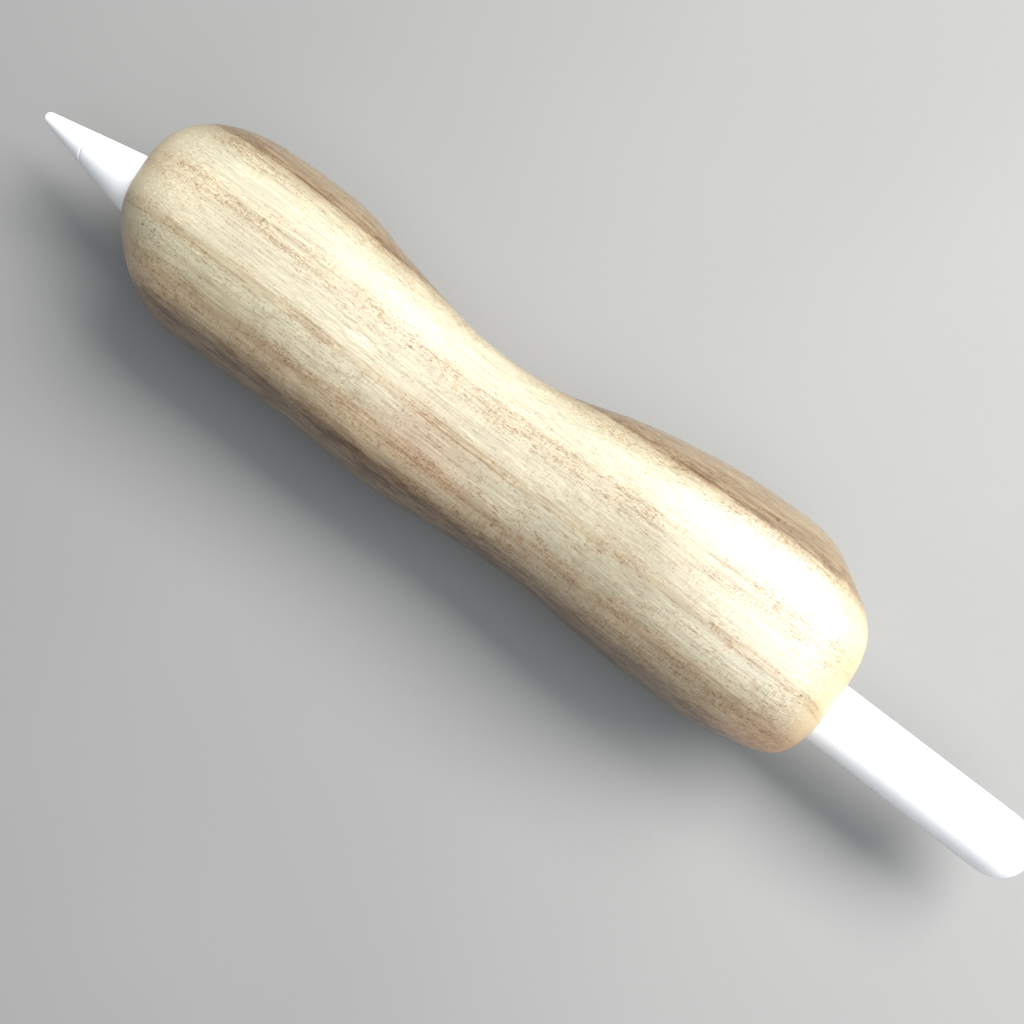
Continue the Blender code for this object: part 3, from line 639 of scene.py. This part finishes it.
def white_plastic(name, roughness, shift):
    """Moulded white plastic with a faint texture, smears and a few hairline scuffs along the body."""
    g = Graph(name, ior=1.46)
    place = g.place()
    cloud = g.noise(place, (17.0 + shift, 5.0, 5.0), detail=3.0)
    smear = g.noise(place, (6.0, 1.6 + shift, 1.6), detail=4.0, roughness=0.65)
    grain = g.noise(place, (0.09, 0.09, 0.09), detail=2.0)
    scuff = g.noise(place, (5.0, 0.06, 0.06), detail=1.0)
    scuff = g.math("MULTIPLY", g.step(scuff, 0.70, 0.76), g.step(cloud, 0.52, 0.66))
    colour = g.mix(g.step(cloud, 0.35, 0.70), rgba(0.945, 0.955, 0.970), rgba(0.915, 0.925, 0.945))
    colour = g.mix(g.math("MULTIPLY", scuff, 0.35), colour, rgba(0.70, 0.70, 0.70))
    rough = g.level(smear, 0.2, 0.8, roughness - 0.06, roughness + 0.08)
    rough = g.math("ADD", rough, g.math("MULTIPLY", scuff, 0.2))
    g.bump(g.math("SUBTRACT", grain, g.math("MULTIPLY", scuff, 0.8)), 0.006, 0.5)
    return g.finish(colour, rough)


def cone_radius(s):
    """Radius of the nib's cone, which touches the tip's ball and runs on into the nose."""
    return TIP_RADIUS / math.cos(CONE_HALF_ANGLE) + (s - TIP_RADIUS) * math.tan(CONE_HALF_ANGLE)


def make_barrel(material):
    """Hollow tube with a domed tail and a shallow flat along its underside."""
    dome_start = STYLUS_LENGTH - TAIL_DOME_LENGTH
    steps = 36
    dome = []
    for i in range(steps + 1):
        turn = 0.5 * math.pi * (1.0 - i / steps)
        along = math.cos(turn) ** (2.0 / TAIL_DOME_SQUARENESS)
        dome.append((dome_start + TAIL_DOME_LENGTH * along,
                     BARREL_RADIUS * math.sin(turn) ** (2.0 / TAIL_DOME_SQUARENESS)))
    dome[-1] = (STYLUS_LENGTH, 0.0)
    flat_start, flat_end = BARREL_FLAT_RANGE
    wall = [(s, BARREL_RADIUS) for s in np.linspace(BARREL_FRONT + 0.3, dome_start - 0.2, 120)]
    outline = [
        (dome_start + 1.0, 0.0), (dome_start, BARREL_BORE_END_RADIUS), (dome_start - 1.2, BARREL_BORE_RADIUS),
        (BARREL_FRONT, BARREL_BORE_RADIUS), (BARREL_FRONT, BARREL_RADIUS - FIT_GAP),
        (BARREL_FRONT + 0.015, BARREL_RADIUS - 0.015), (BARREL_FRONT + FIT_GAP, BARREL_RADIUS),
    ] + wall + dome

    def flatten(s, radius, angle):
        """Cuts the shallow flat along the underside, easing in and out over its run-out."""
        ease_in = np.clip((s - flat_start + BARREL_FLAT_RUN_OUT) / BARREL_FLAT_RUN_OUT, 0.0, 1.0)
        ease_out = np.clip((flat_end + BARREL_FLAT_RUN_OUT - s) / BARREL_FLAT_RUN_OUT, 0.0, 1.0)
        depth = BARREL_RADIUS - BARREL_FLAT_DEPTH * np.minimum(ease_in, ease_out)
        down = -np.cos(angle)
        limit = np.where(down > 0.5, depth / np.maximum(down, 0.5), radius)
        return np.where(radius > BARREL_BORE_RADIUS + 0.1, np.minimum(radius, limit), radius)

    mesh = turned_mesh("barrel_shell", outline, flatten)
    add_piece("barrel_shell", mesh, material, "stylus", "barrel")


def make_nose_cone(material):
    """The front cone, which rounds into the barrel's width and has a spigot inside the barrel."""
    front = NIB_LENGTH + NIB_GAP
    start_radius = cone_radius(SHOULDER_START)
    steps = 24
    shoulder = []
    for i in range(steps + 1):
        t = i / steps
        rise = (BARREL_RADIUS - start_radius) * 2.0 * (t - 0.5 * t * t)
        shoulder.append((SHOULDER_START + (SHOULDER_END - SHOULDER_START) * t, start_radius + rise))
    spigot = BARREL_BORE_RADIUS - 2.0 * FIT_GAP
    lip = [(front + LIP_ROUNDING * (1.0 - math.cos(a)), cone_radius(front) - 0.1 + 0.11 * math.sin(a))
           for a in np.linspace(0.0, 0.5 * math.pi, 7)]
    outline = [(front, NOSE_BORE_RADIUS)] + lip
    outline += [(s, cone_radius(s)) for s in np.linspace(front + 0.2, SHOULDER_START - 0.2, 20)]
    outline += shoulder
    back = BARREL_FRONT - FIT_GAP
    outline += [
        (back - BEVEL, BARREL_RADIUS), (back, BARREL_RADIUS - BEVEL), (back, spigot),
        (SPIGOT_END, spigot), (SPIGOT_END, NOSE_ROOM_RADIUS),
        (NOSE_ROOM_START, NOSE_ROOM_RADIUS), (NOSE_ROOM_START - 0.6, NOSE_BORE_RADIUS),
    ]
    mesh = turned_mesh("nose_cone_shell", outline)
    add_piece("nose_cone_shell", mesh, material, "stylus", "nose_cone")


def make_nib(material):
    """The screw-on tip, with a round point, a socket for its insert and a hole for its pin."""
    steps = 20
    tangent = 0.5 * math.pi - CONE_HALF_ANGLE
    tip = [(TIP_RADIUS * (1.0 - math.cos(tangent * i / steps)), TIP_RADIUS * math.sin(tangent * i / steps))
           for i in range(steps + 1)]
    rim = cone_radius(NIB_LENGTH) - 0.1
    lip = [(NIB_LENGTH - LIP_ROUNDING * (1.0 - math.sin(a)), rim + 0.09 * math.cos(a))
           for a in np.linspace(0.0, 0.5 * math.pi, 7)]
    outline = tip + [(s, cone_radius(s)) for s in np.linspace(1.2, NIB_LENGTH - 0.2, 24)] + lip
    outline += [
        (NIB_LENGTH, NIB_SOCKET_RADIUS), (NIB_SOCKET_START, NIB_SOCKET_RADIUS),
        (NIB_SOCKET_START, PIN_HOLE_RADIUS), (PIN_HOLE_START + 0.2, PIN_HOLE_RADIUS),
        (PIN_HOLE_START, 0.4), (PIN_HOLE_START, 0.0),
    ]
    mesh = turned_mesh("nib_tip", outline)
    add_piece("nib_tip", mesh, material, "nib", "nib_shell")


# ---------------------------------------------------------------- metal pieces that show when the nib is off

def metal(name, colour, roughness, shift=0.0):
    """Turned or rolled metal: fine rings around the axis, a slow change of tint and faint stains."""
    g = Graph(name, metallic=1.0)
    place = g.place()
    along = g.node("ShaderNodeCombineXYZ", [(0, g.axes(place)[0])]).outputs[0]
    rings = g.noise(along, (0.05, 1.0, 1.0), detail=3.0)
    stain = g.noise(place, (1.7 + shift, 1.1, 1.1), detail=3.0)
    tint = g.mix(g.step(stain, 0.35, 0.75), rgba(*colour), rgba(*scaled(colour, 0.72)))
    rough = g.level(rings, 0.2, 0.8, roughness - 0.08, roughness + 0.12)
    g.bump(rings, 0.004, 0.6)
    return g.finish(tint, rough)


def thread_wave(s, angle):
    """Height of a right-hand thread, from 0 in the groove to 1 on the crest."""
    phase = np.mod(s / THREAD_PITCH + angle / (2.0 * math.pi), 1.0)
    return 1.0 - np.abs(2.0 * phase - 1.0)


def make_tip_post(material):
    """Threaded at the front for the nib, with a collar behind the thread and a flange at the back."""
    thread_start, thread_end = POST_THREAD
    collar_start, collar_end = POST_COLLAR
    flange_start, flange_end = POST_FLANGE
    fine = [(s, THREAD_RADIUS) for s in np.linspace(thread_start, thread_end, 96)]
    outline = [(POST_START, 0.0), (POST_START, 0.62), (POST_START + BEVEL, POST_NECK_RADIUS)] + fine
    outline += [
        (thread_end + 0.05, POST_NECK_RADIUS), (collar_start, POST_NECK_RADIUS),
        (collar_start, POST_COLLAR_RADIUS - 0.06), (collar_start + BEVEL, POST_COLLAR_RADIUS),
        (collar_end - BEVEL, POST_COLLAR_RADIUS), (collar_end, POST_COLLAR_RADIUS - BEVEL),
        (collar_end, THREAD_RADIUS), (flange_start, THREAD_RADIUS),
        (flange_start, POST_FLANGE_RADIUS - 0.05), (flange_start + 0.05, POST_FLANGE_RADIUS),
        (flange_end - 0.05, POST_FLANGE_RADIUS), (flange_end, POST_FLANGE_RADIUS - 0.05), (flange_end, 0.0),
    ]

    def cut_thread(s, radius, angle):
        threaded = (s >= thread_start) & (s <= thread_end)
        fade = np.clip(np.minimum(s - thread_start, thread_end - s) / 0.35, 0.0, 1.0)
        crest = THREAD_RADIUS + THREAD_DEPTH * fade * (thread_wave(s, angle) * 2.0 - 1.0)
        return np.where(threaded, crest, radius)

    mesh = turned_mesh("threaded_post", outline, cut_thread)
    add_piece("threaded_post", mesh, material, "nib_post", "tip_post")


def make_nib_insert(material):
    """Bush inside the nib, with the thread that takes the post."""
    bore = THREAD_RADIUS + INSERT_CLEARANCE
    fine = [(s, bore) for s in np.linspace(INSERT_END - 0.05, INSERT_START + 0.1, 96)]
    outline = [
        (INSERT_START, bore + 0.05), (INSERT_START, INSERT_RADIUS - BEVEL),
        (INSERT_START + BEVEL, INSERT_RADIUS), (INSERT_END - BEVEL, INSERT_RADIUS),
        (INSERT_END, INSERT_RADIUS - BEVEL), (INSERT_END, bore + 0.05),
    ] + fine

    def cut_thread(s, radius, angle):
        """Fades the thread out over the last 0.3 mm at either end."""
        fade = np.clip(np.minimum(s - INSERT_START - 0.05, INSERT_END - 0.03 - s) / 0.3, 0.0, 1.0)
        groove = bore + 2.0 * THREAD_DEPTH * fade * (1.0 - thread_wave(s, angle))
        return np.where(radius < bore + 0.01, groove, radius)

    mesh = turned_mesh("threaded_insert", outline, cut_thread)
    add_piece("threaded_insert", mesh, material, "nib", "nib_insert")


# ---------------------------------------------------------------- pieces inside the stylus, kept from the CAD

def speckled(name, colour, spread, size, roughness, bump_mm=0.01, **shader_values):
    """Plain material with a grain of a given size: moulded polymer, epoxy, ferrite or foam."""
    g = Graph(name, **shader_values)
    place = g.place()
    cloud = g.noise(place, (size * 8.0, size * 5.0, size * 5.0), detail=3.0)
    grain = g.noise(place, (size, size, size), detail=3.0, roughness=0.6)
    light = tuple(min(1.0, channel + spread) for channel in colour)
    tint = g.mix(g.step(grain, 0.38, 0.68), rgba(*colour), rgba(*light))
    tint = g.mix(g.step(cloud, 0.40, 0.70, 0.0, 0.35), tint, rgba(*scaled(colour, 0.6)))
    g.bump(grain, bump_mm, 0.7)
    return g.finish(tint, g.level(grain, 0.2, 0.8, roughness - 0.08, roughness + 0.1))


def circuit(name, base, track, track_width, roughness):
    """Board or film with tracks that run along the stylus and rows of round pads."""
    g = Graph(name)
    place = g.place()
    y = g.axes(place)[1]
    bend = g.noise(place, (9.0, 3.0, 3.0), detail=1.0)
    lane = g.math("FRACT", g.math("DIVIDE", g.math("ADD", y, bend), track_width * 2.0))
    tracks = g.step(g.math("ABSOLUTE", g.math("SUBTRACT", lane, 0.5)), 0.20, 0.26, 1.0, 0.0)
    patch = g.step(g.noise(place, (7.0, 1.6, 4.0), detail=1.0), 0.44, 0.48)
    tracks = g.math("MULTIPLY", tracks, patch)
    pads = g.step(g.cells(place, (1.3, 0.9, 0.9)), 0.20, 0.24, 1.0, 0.0)
    tint = g.mix(g.math("MULTIPLY", tracks, 0.8), rgba(*base), rgba(*track))
    tint = g.mix(g.math("MULTIPLY", pads, 0.9), tint, rgba(0.76, 0.60, 0.30))
    g.bump(g.math("ADD", tracks, pads), 0.012, 0.7)
    return g.finish(tint, g.level(pads, 0.0, 1.0, roughness, 0.28))


WIRE_SPACING = 0.14


def wound_wire(name, colour):
    """Lacquered copper winding: fine parallel turns around the coil's middle, with painted shade between
    turns.
    """
    g = Graph(name, metallic=0.85, coat_weight=0.4, coat_roughness=0.15)
    place = g.place()
    y = g.axes(place)[1]
    turns = g.math("SINE", g.math("MULTIPLY", g.math("ABSOLUTE", y), 2.0 * math.pi / WIRE_SPACING))
    # Painted shade: the colour darkens into the grooves between the turns.
    tint = g.mix(g.level(turns, -1.0, 1.0, 0.0, 1.0), rgba(*scaled(colour, 0.45)), rgba(*colour))
    g.bump(turns, 0.03, 0.8)
    return g.finish(tint, g.level(turns, -1.0, 1.0, 0.42, 0.28))


def cell_wrap(name, colour):
    """Heat-shrunk film around the battery cell, with fine pull lines and a paler band at the sealed end."""
    g = Graph(name, ior=1.5)
    place = g.place()
    pull = g.noise(place, (8.0, 0.5, 0.5), detail=3.0)
    sealed_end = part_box("battery_cell")[1].x / MM
    band = g.step(g.axes(place)[0], sealed_end - 3.2, sealed_end - 3.0)
    tint = g.mix(g.step(pull, 0.3, 0.7), rgba(*colour), rgba(*scaled(colour, 0.7)))
    tint = g.mix(band, tint, rgba(0.72, 0.73, 0.75))
    g.bump(pull, 0.03, 0.6)
    return g.finish(tint, g.level(pull, 0.2, 0.8, 0.26, 0.42))


def dress_inner_nodes():
    """Gives every CAD node that stays a material by its slot in the record, and returns the materials."""
    looks = {
        "brass": metal("brass_bar", (0.78, 0.60, 0.30), 0.30),
        "steel": metal("ground_steel", (0.60, 0.60, 0.61), 0.30, 0.4),
        "nickel": metal("nickel_plate", (0.68, 0.66, 0.62), 0.24, 0.9),
        "copper": metal("bare_copper", (0.80, 0.44, 0.28), 0.32, 1.3),
        "grey_polymer": speckled("glass_filled_polymer", (0.17, 0.18, 0.19), 0.05, 0.25, 0.52),
        "black_epoxy": speckled("moulded_epoxy", (0.020, 0.020, 0.022), 0.02, 0.12, 0.55),
        "foam": speckled("closed_cell_foam", (0.030, 0.030, 0.033), 0.04, 0.35, 0.85, 0.08),
        "polyimide": circuit("flex_circuit_film", (0.42, 0.19, 0.035), (0.60, 0.33, 0.10), 0.16, 0.36),
        "circuit_board": circuit(
            "solder_mask_board", (0.010, 0.085, 0.045), (0.020, 0.150, 0.080), 0.22, 0.42),
        "cell_wrap": cell_wrap("cell_film", (0.045, 0.13, 0.30)),
    }
    winding = wound_wire("coil_winding", (0.80, 0.42, 0.24))
    replaced = {"grip", "barrel", "nose_cone", "nib_shell", "tip_post", "nib_insert"}
    for row in frame["record"]["subparts"]:
        name = row["node"]
        if name in replaced:
            continue
        look = winding if name == "charge_coil" else looks[row["material_slot"]]
        data = frame["nodes"][name].data
        data.materials.clear()
        data.materials.append(look)
        data.shade_smooth()
        data.set_sharp_from_angle(angle=math.radians(30.0))
    return looks


# ---------------------------------------------------------------- stage, light and camera

FLOOR_HALF = 3.0
FLOOR_NEAR = ((0.250, 0.250, 0.250), (0.268, 0.268, 0.266))
FLOOR_FAR = (0.80, 0.80, 0.80)
FLOOR_GLOW = (0.80, 0.81, 0.83)
FLOOR_GLOW_STRENGTH = 0.20


def make_floor():
    """Large pale floor with a barely visible texture. In the distance, where less light falls, it is paler
    and glows a little, so that it stays about as pale as it is near the object."""
    corners = [(-1.0, -1.0), (1.0, -1.0), (1.0, 1.0), (-1.0, 1.0)]
    mesh = bpy.data.meshes.new("floor")
    mesh.from_pydata([(x * FLOOR_HALF, y * FLOOR_HALF, 0.0) for x, y in corners], [], [(0, 1, 2, 3)])
    floor = bpy.data.objects.new("floor", mesh)
    bpy.context.scene.collection.objects.link(floor)
    g = Graph("pale_floor")
    place = g.place()
    grain = g.noise(place, (0.8, 0.8, 0.8), detail=3.0)
    cloud = g.noise(place, (90.0, 90.0, 90.0), detail=2.0)
    tint = g.mix(g.step(cloud, 0.3, 0.7), *[rgba(*colour) for colour in FLOOR_NEAR])
    away = g.length(place)
    tint = g.mix(g.step(away, 180.0, 620.0), tint, rgba(*FLOOR_FAR))
    g.feed(g.shader.inputs["Emission Color"], rgba(*FLOOR_GLOW))
    g.feed(g.shader.inputs["Emission Strength"], g.step(away, 220.0, 800.0, 0.0, FLOOR_GLOW_STRENGTH))
    g.bump(grain, 0.02, 0.3)
    mesh.materials.append(g.finish(tint, g.level(grain, 0.0, 1.0, 0.72, 0.85)))


def make_light(name, direction, distance, size, power, colour):
    """Rectangular area light that looks at the middle of the grip, its first size along the stylus."""
    target = (grip_low + grip_high) / 2.0
    data = bpy.data.lights.new(name, "AREA")
    data.shape = "RECTANGLE"
    data.size, data.size_y = size
    data.energy = power
    data.color = colour
    light = bpy.data.objects.new(name, data)
    towards = Vector(direction).normalized()
    across = Vector((1.0, 0.0, 0.0))
    across = (across - towards * across.dot(towards)).normalized()
    rotation = Matrix((across, towards.cross(across), towards)).transposed()
    light.matrix_world = Matrix.Translation(target + towards * distance) @ rotation.to_4x4()
    bpy.context.scene.collection.objects.link(light)


SKY_LOW = (0.02, (0.315, 0.322, 0.330))
SKY_HIGH = (0.45, (0.150, 0.157, 0.168))


def make_lights():
    """A window at the deep hollow's side, a weaker light overhead, and a grey sky, paler near the floor."""
    make_light("window", (-0.38, -0.56, 0.73), 0.50, (0.46, 0.26), 5.7, (1.0, 0.99, 0.96))
    make_light("overhead", (-0.42, 0.10, 0.90), 0.50, (0.50, 0.50), 1.9, (0.94, 0.97, 1.0))
    world = bpy.data.worlds.new("studio")
    world.use_nodes = True
    tree = world.node_tree
    background = tree.nodes["Background"]
    background.inputs["Strength"].default_value = 1.0
    direction = tree.nodes.new("ShaderNodeTexCoord")
    height = tree.nodes.new("ShaderNodeSeparateXYZ")
    sky = tree.nodes.new("ShaderNodeValToRGB")
    for element, (position, colour) in zip(sky.color_ramp.elements, (SKY_LOW, SKY_HIGH)):
        element.position = position
        element.color = rgba(*colour)
    tree.links.new(direction.outputs["Generated"], height.inputs[0])
    tree.links.new(height.outputs["Z"], sky.inputs["Fac"])
    tree.links.new(sky.outputs["Color"], background.inputs["Color"])
    bpy.context.scene.world = world


# The camera looks down on the stylus from close by.
CAMERA_HEIGHT = 0.142                   # above the stylus axis, in metres
CAMERA_FOOT_S = 97.0                    # place along the stylus under the camera
CAMERA_LEAN = math.radians(6.5)         # towards the full side of the grip
CAMERA_TILT = math.radians(4.4)         # aims towards the nib
CAMERA_DIP = math.radians(1.72916)      # aims past the stylus axis, towards the full side
CAMERA_ROLL = math.radians(37.42109)    # turns the stylus off the level
CAMERA_LENS = 37.265625                 # focal length in millimetres, on the sensor below
CAMERA_SENSOR = 36.0


def make_camera():
    """Camera above the grip, turned so that the nib points to the upper left."""
    up_from_axis = Vector((0.0, math.sin(CAMERA_LEAN), math.cos(CAMERA_LEAN)))
    foot = Vector((NIB_TIP_X - CAMERA_FOOT_S * MM, AXIS_Y, AXIS_Z))
    towards_nib = Vector((1.0, 0.0, 0.0))
    look = -up_from_axis * math.cos(CAMERA_TILT) + towards_nib * math.sin(CAMERA_TILT)
    tailwards = (-towards_nib - look * (-towards_nib).dot(look)).normalized()
    sideways = look.cross(tailwards)
    dipped = look * math.cos(CAMERA_DIP) + sideways * math.sin(CAMERA_DIP)
    sideways = sideways * math.cos(CAMERA_DIP) - look * math.sin(CAMERA_DIP)
    right = tailwards * math.cos(CAMERA_ROLL) - sideways * math.sin(CAMERA_ROLL)
    down = tailwards * math.sin(CAMERA_ROLL) + sideways * math.cos(CAMERA_ROLL)
    data = bpy.data.cameras.new("camera")
    data.lens = CAMERA_LENS
    data.sensor_width = CAMERA_SENSOR
    data.clip_start = 0.005
    camera = bpy.data.objects.new("camera", data)
    rotation = Matrix((right, -down, -dipped)).transposed()
    camera.matrix_world = Matrix.Translation(foot + up_from_axis * CAMERA_HEIGHT) @ rotation.to_4x4()
    bpy.context.scene.collection.objects.link(camera)
    bpy.context.scene.camera = camera


# ---------------------------------------------------------------- assembly

make_camera()
make_floor()
make_lights()
bpy.context.scene.view_settings.view_transform = "Standard"

make_grip()
body_plastic = white_plastic("stylus_white_plastic", 0.30, 0.0)
make_barrel(body_plastic)
make_nose_cone(body_plastic)
make_nib(white_plastic("nib_white_plastic", 0.40, 0.6))
looks = dress_inner_nodes()
make_tip_post(looks["steel"])
make_nib_insert(looks["brass"])
